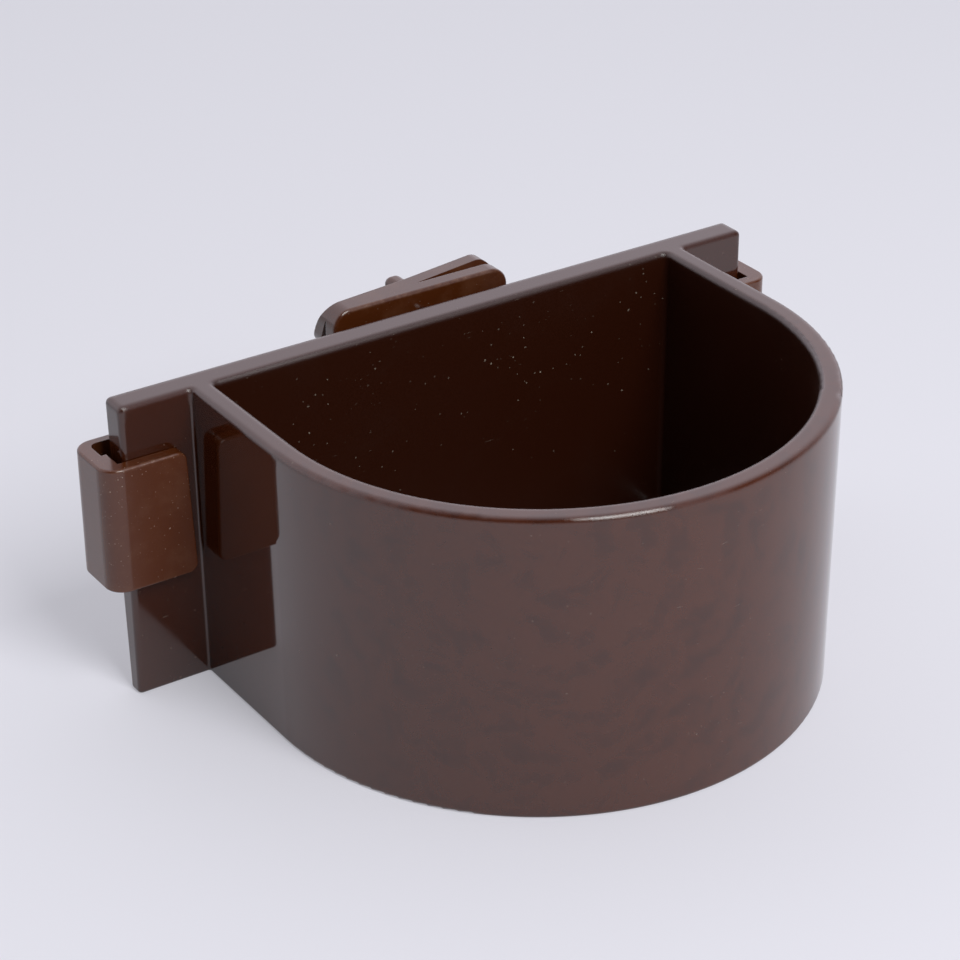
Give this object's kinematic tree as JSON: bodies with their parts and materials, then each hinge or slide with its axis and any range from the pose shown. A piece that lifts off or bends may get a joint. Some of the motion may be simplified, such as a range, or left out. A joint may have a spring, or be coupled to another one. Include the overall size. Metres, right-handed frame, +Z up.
{
  "type": "seed cup",
  "caption": "Half-round hook-on seed cup with an upright back plate, push-on side clips for cage wires and a turn button that locks it to a bird cage.",
  "frame": {"origin": "on the underside, at the middle of the plate's width and below the plate's front face", "axes": "+X to the right seen from in front of the cup, +Y from the cup toward the cage, +Z up"},
  "size_m": [0.1186, 0.0828, 0.0487],
  "materials": {
    "cup_plastic": "gloss",
    "clip_plastic": "satin",
    "button_plastic": "satin"
  },
  "bodies": {
    "cup": {"cup_body": "cup_plastic"},
    "left_clip": {"left_clip": "clip_plastic"},
    "right_clip": {"right_clip": "clip_plastic"},
    "button": {"turn_button": "button_plastic"}
  },
  "joints": [
    {"name": "left_clip_slide", "type": "slide", "parent": "cup", "child": "left_clip", "axis": [-1, 0, 0], "range_m": [-0.0008, 0.014]},
    {"name": "right_clip_slide", "type": "slide", "parent": "cup", "child": "right_clip", "axis": [1, 0, 0], "range_m": [-0.001, 0.014]},
    {"name": "button_turn", "type": "hinge", "parent": "cup", "child": "button", "pos_m": [0, 0.00759, 0.0447], "axis": [0, 1, 0], "range_deg": [0, 90]}
  ]
}
